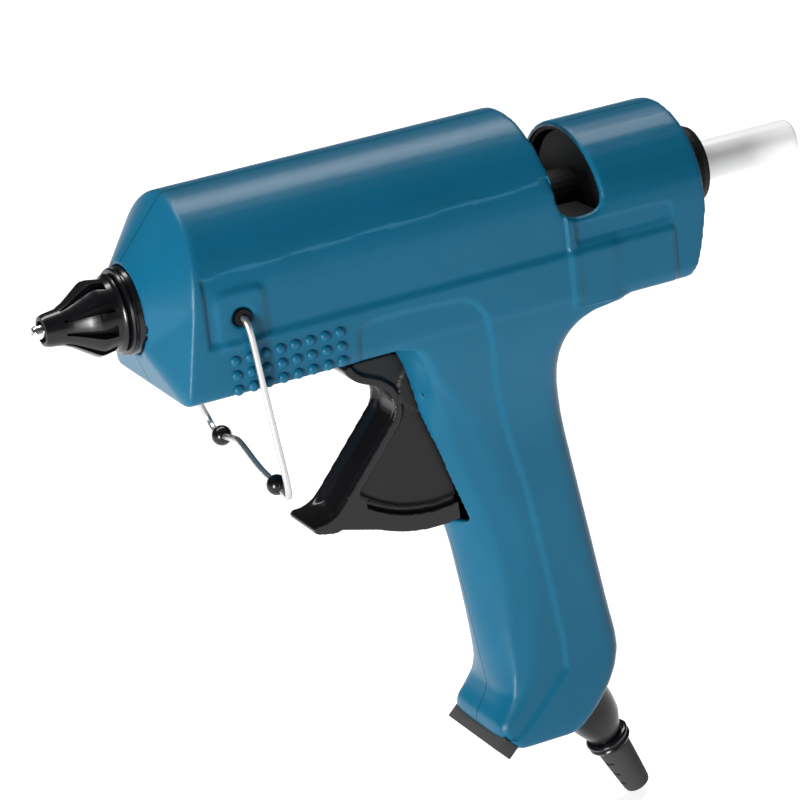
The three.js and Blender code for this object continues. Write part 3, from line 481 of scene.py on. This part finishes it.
# ---------------------------------------------------------------- housing
@dataclass
class Housing:
    """The two moulded halves, their soft edges, shallow steps and finger bumps.

    Each depth is how far a zone is sunk, and each soft value half the width of its edge.
    """

    voxel: float = 0.7
    soften: int = 10
    seam: float = 0.11
    close_up: float = 0.3
    barrel_side: float = 25.0
    barrel_low: float = -12.0
    skin: float = 2.4
    underside: float = -22.0
    sole: float = -146.0
    handle_half: float = 15.0
    handle_waist: float = 0.95
    handle_top: Point = (0.705, 16, 62)
    handle_foot: Point = (0.13, 112, 148)
    front_x: float = 57.3
    front_rake: float = 0.134
    rear_x: float = 101.6
    rear_side: tuple[float, float] = (21.5, 23)
    rear_bottom: float = -23.4
    ledge: tuple[float, float] = (-8.2, -6.3)
    band_depth: float = 0.9
    band_soft: float = 0.45
    grip_depth: float = 0.8
    grip_soft: float = 0.5
    mark_depth: float = 0.35
    mark_soft: float = 0.3
    block_rise: float = 0.8
    block_end: tuple[float, float] = (133.3, 134.1)
    band: Outline = (
        (-4, 10.9), (44.3, 12.2), (93.2, 13.2), (95.6, 13.6), (97.2, 15.2), (98, 18), (110, 18),
        (110, -12), (-4, -12),
    )
    grip: Outline = (
        (37.8, -40), (37.8, -15), (38.8, -12.6), (41.5, -11.4), (50, -11.2), (60, -11.6), (69, -12.2),
        (72.6, -14), (75.2, -18), (77, -26.5), (78.4, -38.8), (83.2, -58), (87, -74.6), (90, -95.6),
        (93.3, -121), (93, -129.5), (86.4, -136.5), (78.6, -143.6), (70, -150), (30, -150), (30, -40),
    )
    tail_mark: Outline = (
        (103.8, -3.8), (104.3, 0), (105, 0.3), (132, -0.1), (133.4, -0.6), (134.1, -1.8), (133.8, -4.6),
        (133, -5), (105.5, -5.3), (104.3, -5),
    )
    mouth_half: tuple[float, float] = (22.5, 19.5)
    mouth_x: tuple[float, float] = (101.2, 114.6)
    mouth_floor: float = 1.0
    bump_radius: float = 1.5
    bump_flatness: float = 0.7
    bump_slope: float = 0.012
    bump_rows: Sequence[float] = (-12.2, -16.2, -20.2)
    bump_columns: Sequence[float] = field(default_factory=lambda: [2.4 + 4.3 * i for i in range(8)])

    def build(self) -> list[bpy.types.Object]:
        """Makes both halves and both bump fields.

        Returns:
            The finished pieces.
        """
        shell = self._soft_shell()
        Bench.reshape(shell, self._steps)
        halves = [self._half(shell, side) for side in Side]
        bpy.data.objects.remove(shell)
        return halves + [self._bumps(side) for side in Side]

    def _soft_shell(self) -> bpy.types.Object:
        """Both CAD halves, closed up along the seam and given soft edges."""
        copies = []
        for side, node in ((Side.LEFT, "housing_left"), (Side.RIGHT, "housing_right")):
            piece = Bench.copy_node(node, "shell_" + side.name.lower())
            piece.data.transform(Matrix.Translation((0, -side.value * self.close_up * MM, 0)))
            copies.append(piece)
        shell = Bench.join("shell", copies)
        Bench.modify(shell, "REMESH", mode="VOXEL", voxel_size=self.voxel * MM, adaptivity=0)
        Bench.modify(shell, "SMOOTH", factor=0.5, iterations=self.soften)
        return shell

    def _handle_half(self, z: np.ndarray) -> np.ndarray:
        """Half the width of the handle at each height, wider at its top and at its foot."""
        top, top_start, top_end = self.handle_top
        foot, foot_start, foot_end = self.handle_foot
        share = self.handle_waist + top * (1 - smoothstep(-z, top_start, top_end))
        return self.handle_half * (share + foot * smoothstep(-z, foot_start, foot_end))

    @staticmethod
    def _zone(x: np.ndarray, z: np.ndarray, outline: Outline, soft: float) -> np.ndarray:
        """1 inside an outline and 0 outside it, with a soft edge of that half width."""
        return smoothstep(outline_distance(x, z, outline), -soft, soft)

    def _steps(self, points: np.ndarray) -> np.ndarray:
        """Sinks the label band, the grip zone and the tail mark, and raises the lower rear block."""
        x, y, z = points.T
        y = y * (self.barrel_side / (self.barrel_side - self.close_up))
        side = np.abs(y)
        ledge = smoothstep(z, *self.ledge)
        in_barrel = (side > self.barrel_side - self.skin) & (z > self.barrel_low) & (x < self.rear_x)
        depth = self.band_depth * in_barrel * ledge * self._zone(x, z, self.band, self.band_soft)
        edge = np.where(z > self.underside, self.barrel_side - 0.5, self._handle_half(z) - 0.8)
        low = smoothstep(side, edge - self.skin, edge) * (z > self.sole) * (x < 101)
        depth += self.grip_depth * low * self._zone(x, z, self.grip, self.grip_soft)
        rear = (side > self.rear_side[0]) & (x > self.rear_x) & (z < 6)
        depth += self.mark_depth * rear * self._zone(x, z, self.tail_mark, self.mark_soft)
        block = smoothstep(side, *self.rear_side) * (x > self.rear_x) * (z > self.rear_bottom)
        depth -= self.block_rise * block * (1 - ledge) * (1 - smoothstep(x, *self.block_end))
        y = np.sign(y) * (side - depth)
        return np.column_stack([x, y, z])

    def _half(self, shell: bpy.types.Object, side: Side) -> bpy.types.Object:
        """One half of the shell, cut clean at the seam."""
        name = "moulded_half_" + side.name.lower()
        half = Bench.add(name, shell.data.copy())
        near, far = sorted((side.value * self.seam, side.value * 60))
        tool = Bench.block("seam_cut", (-60, near, -200), (200, far, 60))
        Bench.modify(half, "BOOLEAN", operation="INTERSECT", object=tool, solver="MANIFOLD")
        bpy.data.objects.remove(tool)
        Bench.modify(half, "BOOLEAN", operation="DIFFERENCE", object=self._mouth(), solver="MANIFOLD")
        bpy.data.objects.remove(bpy.data.objects["mouth"])
        Bench.hold(half)
        bpy.ops.object.shade_smooth_by_angle(angle=math.radians(50))
        dress(half, BLUE, SHADE_AND_PLASTIC_BLACK)
        self._paint_inner_shade(half)
        Bench.hand_over(half, "housing", "housing_blue", "housing_" + side.name.lower())
        return half

    def _mouth(self) -> bpy.types.Object:
        """A cutter that leaves a thin rim round the notch's floor and rear wall."""
        Bench.clear()
        (wide, high), (start, end) = self.mouth_half, self.mouth_x
        bpy.ops.mesh.primitive_cylinder_add(vertices=128, radius=1, depth=(end - start) * MM)
        tool = Bench.taken("mouth")
        turn = Matrix.Rotation(math.pi / 2, 4, "Y")
        place = Matrix.Translation(Bench.at((start + end) / 2, 0, 0))
        tool.data.transform(place @ Matrix.Diagonal((1, wide * MM, high * MM, 1)) @ turn)
        floor = Bench.block("floor_cut", (90, -40, self.mouth_floor), (130, 40, 40))
        Bench.carve(tool, floor, "INTERSECT")
        return tool

    def _paint_inner_shade(self, half: bpy.types.Object) -> None:
        """Paints the notch and all that faces inwards in black: painted shade for the housing's dark
        inside.
        """
        x, y, z = Bench.face_centres(half).T
        _, ny, nz = Bench.face_normals(half).T
        side = np.abs(y)
        (wide, high), (start, end) = self.mouth_half, self.mouth_x
        margin = 0.1
        mouth = (np.hypot(y / wide, z / high) < 1.004) & (z > self.mouth_floor - margin)
        mouth &= (x > start) & (x < end + margin)
        mouth &= (z < 7) | (x > 108)
        walls = ny * np.sign(y) < -0.35
        roof = (nz < -0.3) & (z > 5) & (side < 22.6) & (np.hypot(y, z - 4) < 23.8)
        floor = (nz > 0.3) & (z < -18) & (z > -21.8) & (side < 23) & (x > 2)
        behind_front = x > self.front_x - self.front_rake * z
        inside = (side < 24) & (x > 1) & (x < 144) & ((z > self.underside) | behind_front)
        # These faces of the blue housing get the black painted shade.
        paint_faces(half, mouth | ((walls | roof | floor) & inside), 1)

    def _bumps(self, side: Side) -> bpy.types.Object:
        """The field of small domes low on the barrel's side."""
        Bench.clear()
        place = Bench.at(self.bump_columns[0], side.value * self.barrel_side, self.bump_rows[0])
        size = self.bump_radius * MM
        bpy.ops.mesh.primitive_uv_sphere_add(segments=16, ring_count=10, radius=size, location=place)
        first = Bench.taken("bump")
        bpy.ops.object.mode_set(mode="EDIT")
        bpy.ops.transform.resize(value=(1, self.bump_flatness, 1), center_override=place)
        bpy.ops.object.mode_set(mode="OBJECT")
        Bench.settle_mesh(first)
        domes = [first]
        for row, z in enumerate(self.bump_rows):
            for column, x in enumerate(self.bump_columns):
                if row or column:
                    dome = Bench.add("bump", first.data.copy())
                    run = x - self.bump_columns[0]
                    offset = Vector((run, 0, z - self.bump_rows[0] + run * self.bump_slope)) * MM
                    dome.data.transform(Matrix.Translation(offset))
                    domes.append(dome)
        bumps = Bench.join("finger_bumps_" + side.name.lower(), domes)
        dress(bumps, BLUE)
        return Bench.hand_over(bumps, "housing", "housing_blue")


# ---------------------------------------------------------------- nozzle
@dataclass
class Nozzle:
    """The bright tip, the ribbed guard round it and the ringed collar."""

    ribs: int = 9
    guard: Sequence[tuple[float, float]] = (
        (-39.9, 2.9), (-40.1, 3.3), (-39.9, 4.0), (-38.9, 4.4), (-35.2, 4.9), (-32.6, 6.1), (-29, 8.5),
        (-26.9, 9.9), (-26, 10.25), (-25, 10.2), (-22.2, 9.7), (-20.9, 9.75), (-20.5, 10.4), (-20, 10.65),
        (-19.55, 10.4), (-19.45, 7.9), (-22, 7.6), (-34, 4.3), (-38, 2.9),
    )
    core: Sequence[tuple[float, float]] = (
        (-37.6, 2.75), (-34, 4.0), (-27, 6.6), (-22.5, 7.5), (-19.6, 7.6), (-19.6, 6.7), (-23, 6.3),
        (-37, 2.2),
    )
    collar: Sequence[tuple[float, float]] = (
        (-19.1, 7.45), (-19.1, 10.6), (-18.9, 11.5), (-18.4, 11.8), (-17.9, 11.55), (-17.7, 11.2),
        (-17.3, 11.2), (-17.1, 11.6), (-16.7, 11.75), (-12, 11.75), (-9.1, 11.75), (-9.1, 7.45),
    )
    tip: Sequence[tuple[float, float]] = (
        (-38, 0.35), (-42.5, 0.35), (-42.6, 0.7), (-42.5, 1.2), (-42.2, 1.6), (-41.6, 1.85),
        (-38.7, 1.95), (-38.3, 2.1), (-34, 3.1), (-22, 4.4), (-19.4, 5.8), (-14.2, 6.1), (-14.2, 4.1),
        (-2.2, 4.1), (-2.2, 3), (-15.8, 3), (-18, 0.9),
    )
    window_front: Sequence[Point] = ((-34.8, 0.3, 3.6), (-34.8, 0.4, 7))
    window_rear: Sequence[Point] = ((-22.3, 1.45, 6.4), (-22.3, 1.85, 13))

    def build(self) -> list[bpy.types.Object]:
        """Makes the tip, the guard, its core and the collar."""
        tip = Bench.turned("nozzle_point", self.tip, sides=48, ring=True)
        dress(tip, BRIGHT_STEEL)
        Bench.hand_over(tip, "housing", "steel", "nozzle_tip")
        guard = Bench.turned("nozzle_guard", self.guard, sides=108, ring=True)
        for i in range(self.ribs):
            Bench.carve(guard, self._window(2 * math.pi * (i + 0.5) / self.ribs))
        Bench.settle_mesh(guard, 35)
        dress(guard, GLOSS_BLACK)
        Bench.hand_over(guard, "housing", "black_gloss", "nozzle_sleeve")
        # The core is a black sheet behind the guard's windows: painted shade seen through them.
        core = Bench.turned("guard_core", self.core, sides=72, ring=True)
        dress(core, SHADE_AND_PLASTIC_BLACK)
        Bench.hand_over(core, "housing", "black_gloss")
        collar = Bench.turned("nozzle_rings", self.collar, sides=96, ring=True)
        dress(collar, GLOSS_BLACK)
        Bench.hand_over(collar, "housing", "black_gloss", "nozzle_collar")
        return [tip, guard, core, collar]

    def _window(self, turn: float) -> bpy.types.Object:
        """A slot between two ribs: a wedge that is narrow at the front.

        Args:
            turn: its place round the nozzle, in radians.

        Returns:
            The cutter. Each end has an inner and an outer edge, of (x, half width, distance from the axis).
        """
        Bench.clear()
        bpy.ops.mesh.primitive_cube_add(size=1)
        tool = Bench.taken("window")
        for vertex in tool.data.vertices:
            end = self.window_front if vertex.co.x < 0 else self.window_rear
            x, half, reach = end[0 if vertex.co.z < 0 else 1]
            vertex.co = Vector((x, half if vertex.co.y > 0 else -half, reach)) * MM
        tool.data.transform(Matrix.Translation(Bench.at(0, 0, 0)) @ Matrix.Rotation(turn, 4, "X"))
        return tool


# ---------------------------------------------------------------- trigger
@dataclass
class Trigger:
    """The finger lever: a glossy channel with raised lips, a grained web and a round rail."""

    pivot: tuple[float, float] = (62.0, -39.5)
    half: float = 8.0
    front: Outline = (
        (39.6, -29.4), (41.2, -32), (43.6, -34), (46, -35), (49, -36.4), (51.6, -38.6), (53, -41.4),
        (53.2, -44.2), (52.4, -46.6), (46, -54), (39, -62), (34.6, -67.1), (32.4, -69.4), (29.6, -70.5),
        (26.6, -70.6),
    )
    lip: float = 1.5
    pit_depth: float = 1.5
    pit_lean: float = -0.75
    web_depth: float = 0.9
    web_start: float = 2.9

    def build(self) -> list[bpy.types.Object]:
        """Makes the lever from its CAD solid."""
        lever = Bench.copy_node("trigger", "finger_lever")
        Bench.modify(lever, "REMESH", mode="VOXEL", voxel_size=0.42 * MM, adaptivity=0)
        Bench.modify(lever, "SMOOTH", factor=0.5, iterations=5)
        Bench.reshape(lever, self._channel)
        Bench.hold(lever)
        bpy.ops.object.shade_smooth_by_angle(angle=math.radians(60))
        dress(lever, GLOSS_BLACK, SATIN_BLACK)
        x, y, z = Bench.face_centres(lever).T
        reach = np.hypot(x - self.pivot[0], z - self.pivot[1])
        web = outline_distance(x, z, self.front, closed=False) > self.web_start
        web &= (reach < 34.6) & (np.abs(y) > 5)
        paint_faces(lever, web, 1)
        Bench.hand_over(lever, "trigger", "black_gloss", "trigger")
        return [lever]

    def _channel(self, points: np.ndarray) -> np.ndarray:
        """Hollows the finger face between its lips, and sinks the web's sides."""
        x, y, z = points.T
        near = outline_distance(x, z, self.front, closed=False)
        side = np.abs(y)
        rear = np.array([1.0, 0.0, self.pit_lean]) / math.hypot(1, self.pit_lean)
        pit = self.pit_depth * smoothstep(self.half - self.lip - side, 0, 2.6)
        pit *= 1 - smoothstep(near, 0.7, 1.6)
        pit *= smoothstep(-z, 36, 40) * (1 - smoothstep(-z, 68, 70.5))
        reach = np.hypot(x - self.pivot[0], z - self.pivot[1])
        web = smoothstep(near, 2.2, self.web_start) * (1 - smoothstep(reach, 33, 33.6))
        web = web * (side > 6.5) * (reach > 7)
        y = np.sign(y) * (side - self.web_depth * web)
        return np.column_stack([x + pit * rear[0], y, z + pit * rear[2]])


# ---------------------------------------------------------------- wire stand
@dataclass
class WireStand:
    """The bent wire bail with its two balls."""

    radius: float = 0.9
    ball_radius: float = 2.9
    ball_scale: float = 0.97
    path: Sequence[Point] = (
        (6.1, -19.5, -1.2), (6.1, -24, -1.2), (6.1, -26.4, -1.5), (6.4, -27.3, -3.4), (8.1, -27.4, -18),
        (10, -27.4, -35), (11.6, -27.3, -50), (11.8, -26.3, -52.2), (11.4, -24.2, -51.3),
        (11, -21.5, -50), (10.9, -12, -48.3), (12.2, 4, -45.6), (12.8, 9, -46.4), (13, 18, -48.2),
        (13.4, 24.6, -48), (13.3, 27, -46), (10.7, 27.4, -38), (8.1, 27.4, -18), (6.4, 27.3, -3.4),
        (6.1, 26.4, -1.5), (6.1, 24, -1.2), (6.1, 19.5, -1.2),
    )
    balls: Sequence[Point] = ((11, -21.5, -50), (13, 18, -48.2))

    def build(self) -> list[bpy.types.Object]:
        """Makes the wire and its balls."""
        Bench.clear()
        samples = smooth_path(self.path, 12)
        bpy.ops.curve.primitive_nurbs_path_add()
        wire = bpy.context.object
        wire.data.splines.clear()
        spline = wire.data.splines.new("POLY")
        spline.points.add(len(samples) - 1)
        for point, sample in zip(spline.points, samples):
            point.co = (*Bench.at(*sample), 1)
        wire.data.bevel_depth = self.radius * MM
        wire.data.bevel_resolution = 4
        wire.data.use_fill_caps = True
        wire.location = (0, 0, 0)
        bpy.ops.object.convert(target="MESH")
        wire = Bench.taken("stand_rod")
        Bench.settle_mesh(wire)
        dress(wire, WHITE_WIRE)
        Bench.hand_over(wire, "stand", "steel", "stand_wire")
        return [wire, *(self._ball(side, place) for side, place in zip(Side, self.balls))]

    def _ball(self, side: Side, place: Point) -> bpy.types.Object:
        """A ball that is pushed onto the wire."""
        Bench.clear()
        centre, size, scale = Bench.at(*place), self.ball_radius * MM, self.ball_scale
        bpy.ops.mesh.primitive_uv_sphere_add(segments=40, ring_count=24, radius=size, location=centre)
        ball = Bench.taken("stand_ball_" + side.name.lower())
        bpy.ops.object.mode_set(mode="EDIT")
        bpy.ops.transform.resize(value=(scale, scale, scale), center_override=centre)
        bpy.ops.object.mode_set(mode="OBJECT")
        Bench.settle_mesh(ball, 60)
        dress(ball, GLOSS_BLACK)
        return Bench.hand_over(ball, "stand", "black_rubber", "stand_foot_" + side.name.lower())


# ---------------------------------------------------------------- glue stick
@dataclass
class GlueFeed:
    """The milky glue stick."""

    stick: Sequence[tuple[float, float]] = (
        (30.1, 4.6), (30.4, 5.2), (31, 5.6), (184.5, 5.6), (185.1, 5.5), (185.5, 5.1), (185.6, 4.4),
        (185.5, 3),
    )

    def build(self) -> list[bpy.types.Object]:
        """Makes the stick."""
        stick = Bench.turned("glue_rod", self.stick, sides=72)
        dress(stick, GLUE)
        Bench.hand_over(stick, "stick", "glue", "glue_stick")
        return [stick]


# ---------------------------------------------------------------- foot of the handle
@dataclass
class Foot:
    """The cord connector, its rings and boot, and the rubber strip on the toe."""

    root: Point = (106.3, 0, -151.7)
    along: Point = (0.428, 0, -0.903)
    connector: Sequence[tuple[float, float]] = (
        (-8.9, 6), (-8.9, 7.6), (-2, 7.75), (0, 7.6), (3, 7.25), (6, 6.1), (7.6, 5.45), (8.9, 5.2),
        (8.95, 3),
    )
    rings: Sequence[tuple[float, float]] = (
        (9.35, 4), (9.35, 5.4), (9.6, 6.15), (10.1, 6.5), (10.7, 6.3), (11, 5.95), (11.3, 5.95),
        (11.6, 6.25), (12, 6.4), (12.5, 6.1), (12.85, 5.2), (12.85, 4),
    )
    boot: Sequence[tuple[float, float]] = (
        (13.3, 3), (13.3, 4.8), (13.6, 5), (20, 4.6), (28.6, 3.95), (29.4, 3.7), (29.75, 3.2),
        (29.75, 2.5), (27, 2.4), (27, 0.6),
    )
    notch_reach: float = 5.1
    notch_size: Point = (3.4, 14, 0.8)
    toe_out: Point = (-0.7286, 0, -0.6849)
    strip_seat: float = 1.3
    notches: Sequence[tuple[float, int]] = ((17.4, 1), (21.4, -1), (21.8, 1), (25.4, -1), (25.8, 1))

    def build(self) -> list[bpy.types.Object]:
        """Makes the connector, its rings, the boot and the toe strip."""
        axis = dict(base=self.root, along=self.along)
        connector = Bench.turned("cord_connector", self.connector, sides=72, **axis)
        rings = Bench.turned("connector_rings", self.rings, sides=72, ring=True, **axis)
        boot = Bench.turned("cord_boot", self.boot, sides=64, **axis)
        for along, side in self.notches:
            Bench.carve(boot, self._notch(along, side))
        Bench.settle_mesh(boot, 35)
        dress(connector, GLOSS_BLACK)
        dress(rings, GLOSS_BLACK)
        dress(boot, RUBBER)
        Bench.hand_over(connector, "housing", "black_gloss", "cord_plug")
        Bench.hand_over(rings, "housing", "black_gloss", "plug_collar")
        Bench.hand_over(boot, "housing", "black_rubber", "strain_relief")
        return [connector, rings, boot, self._strip()]

    def _notch(self, along: float, side: int) -> bpy.types.Object:
        """A cutter for a groove that goes half round the boot."""
        Bench.clear()
        place = (side * self.notch_reach * MM, 0, along * MM)
        bpy.ops.mesh.primitive_cube_add(size=1, location=place, scale=[v * MM for v in self.notch_size])
        tool = Bench.taken("notch")
        bpy.ops.object.transform_apply(location=True, rotation=True, scale=True)
        turn = Vector((0, 0, 1)).rotation_difference(Vector(self.along)).to_matrix().to_4x4()
        tool.data.transform(Matrix.Translation(Bench.at(*self.root)) @ turn)
        return tool

    def _seat_strip(self, points: np.ndarray) -> np.ndarray:
        """Thickens the strip towards the toe, so that it sits in the toe's soft edge."""
        out = np.array(self.toe_out)
        height = points @ out
        inner = height < (height.min() + height.max()) / 2
        return points - self.strip_seat * out * inner[:, None]

    def _strip(self) -> bpy.types.Object:
        """The rubber strip on the slanted toe, with a rounded edge."""
        strip = Bench.copy_node("foot_pad", "toe_strip")
        Bench.reshape(strip, self._seat_strip)
        Bench.modify(strip, "BEVEL", width=0.45 * MM, segments=4, limit_method="ANGLE")
        Bench.settle_mesh(strip, 50)
        dress(strip, RUBBER)
        return Bench.hand_over(strip, "housing", "black_rubber", "foot_pad")


# ---------------------------------------------------------------- pieces that keep their CAD shape
@dataclass
class Innards:
    """The CAD pieces whose shape is right, with the finish that each one is given; the stick guide's black
    is painted shade.
    """

    finishes: dict[str, Finish] = field(default_factory=lambda: {
        # The stick guide's black is painted shade for the rear block's dark inside.
        "stick_guide": SHADE_AND_PLASTIC_BLACK, "stand_bush_left": SHADE_AND_PLASTIC_BLACK, "stand_bush_right": SHADE_AND_PLASTIC_BLACK,
        "valve_ball": BRIGHT_STEEL, "valve_spring": BRIGHT_STEEL, "melt_chamber": CAST,
        "heater_left": CERAMIC, "heater_right": CERAMIC, "heater_clip": BRIGHT_STEEL,
        "thermal_cutout": CERAMIC, "inlet_sleeve": SILICONE,
        "chamber_support_front": LAMINATE, "chamber_support_rear": LAMINATE, "feed_carriage": SATIN_BLACK,
        "clamp_lever": BRIGHT_STEEL, "clamp_pin": BRIGHT_STEEL, "trigger_pin": BRIGHT_STEEL,
        "trigger_spring": BRIGHT_STEEL, "circuit_board": BOARD, "capacitor": GLOSS_BLACK,
        "triac": SATIN_BLACK,
        "terminal_block": BOARD, "lead_live": SLEEVING, "lead_neutral": SLEEVING,
        "inlet_socket": GLOSS_BLACK,
        **{f"screw_{i}": BRIGHT_STEEL for i in range(1, 8)},
    })

    def dress(self) -> int:
        """Gives each kept CAD piece its finish.

        Returns:
            How many pieces were dressed.
        """
        for name, finish in self.finishes.items():
            node = bpy.data.objects[name]
            node.data.materials.clear()
            node.data.materials.append(finish.material())
        return len(self.finishes)


# ---------------------------------------------------------------- studio
@dataclass
class Studio:
    """The pale floor, the soft lights and the camera."""

    target: Point = (58.6, 0, -44.8)
    azimuth: float = -24.15
    elevation: float = 20.2
    roll: float = -6.6
    distance: float = 1.137
    lens: float = 189.0
    sky: float = 0.05
    floor_grey: float = 0.5
    floor_glow: float = 0.8
    lamps: Sequence[tuple[str, Point, Point, tuple[float, float], float]] = (
        ("overhead", (60, 420, 900), (50, 0, -20), (1.3, 0.25), 14),
        ("from_left", (-900, -640, -40), (70, 0, -70), (0.22, 0.5), 20),
        ("from_front", (250, -1300, 500), (60, 0, -60), (0.9, 0.6), 0.6),
    )

    def build(self) -> None:
        """Sets up the whole stage."""
        self._camera()
        self._floor()
        self._lights()

    def _camera(self) -> None:
        """A long lens, turned about its own axis as the gun is shown."""
        a, e, r = (math.radians(v) for v in (self.azimuth, self.elevation, self.roll))
        back = Vector((math.sin(a) * math.cos(e), -math.cos(a) * math.cos(e), math.sin(e)))
        right = Vector((math.cos(a), math.sin(a), 0))
        up = back.cross(right)
        turned_right = right * math.cos(r) + up * math.sin(r)
        turned_up = up * math.cos(r) - right * math.sin(r)
        data = bpy.data.cameras.new("studio_camera")
        data.lens = self.lens
        data.sensor_width = 36
        data.clip_end = 50
        camera = Bench.add("studio_camera", data)
        axes = Matrix((turned_right, turned_up, back)).transposed().to_4x4()
        camera.matrix_world = Matrix.Translation(Bench.at(*self.target) + back * self.distance) @ axes
        bpy.context.scene.camera = camera

    def _floor(self) -> None:
        """A wide pale floor under the gun."""
        Bench.clear()
        bpy.ops.mesh.primitive_plane_add(size=60, location=(0, 0, -0.0005))
        floor = Bench.taken("studio_floor")
        material = bpy.data.materials.new("studio_floor")
        material.use_nodes = True
        shader = material.node_tree.nodes["Principled BSDF"]
        shader.inputs["Base Color"].default_value = (*[self.floor_grey] * 3, 1)
        shader.inputs["Roughness"].default_value = 0.9
        shader.inputs["Emission Color"].default_value = (1, 1, 1, 1)
        shader.inputs["Emission Strength"].default_value = self.floor_glow
        shader.inputs["Specular IOR Level"].default_value = 0.1
        floor.data.materials.append(material)

    def _lights(self) -> None:
        """The soft lamps, and a dim sky."""
        world = bpy.data.worlds.new("studio")
        bpy.context.scene.world = world
        world.use_nodes = True
        background = world.node_tree.nodes["Background"]
        background.inputs["Color"].default_value = (1, 1, 1, 1)
        background.inputs["Strength"].default_value = self.sky
        for lamp in self.lamps:
            self._softbox(*lamp)

    @staticmethod
    def _softbox(name: str, place: Point, target: Point, size: tuple[float, float], power: float) -> None:
        """An area light at a design point, turned to a target."""
        data = bpy.data.lights.new(name, "AREA")
        data.shape = "RECTANGLE"
        data.size, data.size_y = size
        data.energy = power
        lamp = Bench.add(name, data)
        start, end = Bench.at(*place), Bench.at(*target)
        turn = (end - start).to_track_quat("-Z", "Y").to_matrix().to_4x4()
        lamp.matrix_world = Matrix.Translation(start) @ turn


def main() -> None:
    """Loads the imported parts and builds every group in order."""
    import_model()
    Bench.settle()
    bpy.context.scene.view_settings.view_transform = "Standard"
    Studio().build()
    for group in (Housing(), Nozzle(), Trigger(), WireStand(), GlueFeed(), Foot()):
        for piece in group.build():
            log.info("%s: %d faces", piece.name, len(piece.data.polygons))
    log.info("%d CAD pieces dressed", Innards().dress())


if __name__ == "__main__":
    logging.basicConfig(level=logging.INFO, format="%(message)s")
    main()
